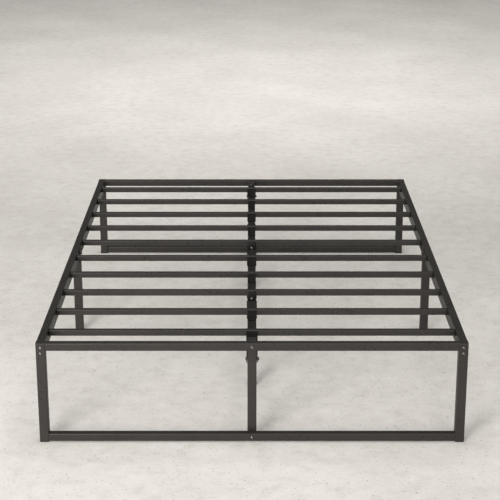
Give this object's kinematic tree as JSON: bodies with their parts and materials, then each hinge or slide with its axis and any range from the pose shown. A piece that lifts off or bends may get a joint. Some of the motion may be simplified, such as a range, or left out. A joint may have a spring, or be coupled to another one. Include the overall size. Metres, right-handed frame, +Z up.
{
  "type": "metal bed frame",
  "caption": "Full-size platform bed frame of square steel tube: low end frames, bolted side rails and centre beam, slats on plastic cradles.",
  "frame": {"origin": "on the floor, at the middle of the frame", "axes": "+X to the right seen from the foot, +Y from foot to head, +Z up"},
  "size_m": [1.367, 1.9074, 0.34],
  "materials": {
    "frame_steel": "satin brown-black powder coat",
    "black_plastic": "moulded, matte",
    "fastener": "black zinc plate"
  },
  "bodies": {
    "root": {"foot_left_leg": "frame_steel", "foot_right_leg": "frame_steel", "head_left_leg": "frame_steel", "head_right_leg": "frame_steel", "foot_top_rail": "frame_steel", "foot_bottom_rail": "frame_steel", "head_top_rail": "frame_steel", "head_bottom_rail": "frame_steel", "foot_centre_leg": "frame_steel", "head_centre_leg": "frame_steel", "foot_support_leg": "frame_steel", "head_support_leg": "frame_steel", "left_foot_side_rail": "frame_steel", "left_head_side_rail": "frame_steel", "right_foot_side_rail": "frame_steel", "right_head_side_rail": "frame_steel", "left_middle_leg": "frame_steel", "right_middle_leg": "frame_steel", "left_leg_bracket": "frame_steel", "right_leg_bracket": "frame_steel", "left_rail_joiner": "frame_steel", "right_rail_joiner": "frame_steel", "foot_centre_beam": "frame_steel", "head_centre_beam": "frame_steel", "foot_beam_fork": "frame_steel", "head_beam_fork": "frame_steel", "beam_joiner": "frame_steel", "splice_cap": "frame_steel", "support_caps": "frame_steel", "support_plates": "frame_steel", "slat_1": "frame_steel", "slat_2": "frame_steel", "slat_3": "frame_steel", "slat_4": "frame_steel", "slat_5": "frame_steel", "slat_6": "frame_steel", "slat_7": "frame_steel", "slat_8": "frame_steel", "slat_9": "frame_steel", "slat_10": "frame_steel", "bracket_lugs": "frame_steel", "corner_top_plates": "frame_steel", "centre_top_plugs": "frame_steel", "left_slat_caps": "black_plastic", "right_slat_caps": "black_plastic", "slat_cradles": "black_plastic", "end_slat_cradles": "black_plastic", "slat_brackets": "black_plastic", "corner_feet": "black_plastic", "middle_feet": "black_plastic", "centre_feet": "black_plastic", "rail_end_plugs": "fastener", "corner_bolts": "fastener", "centre_leg_bolts": "fastener", "beam_bolts": "fastener", "bracket_bolts": "fastener", "hex_nuts": "fastener", "carriage_bolts": "fastener", "carriage_nuts": "fastener", "plug_rivets": "fastener"}
  },
  "joints": []
}
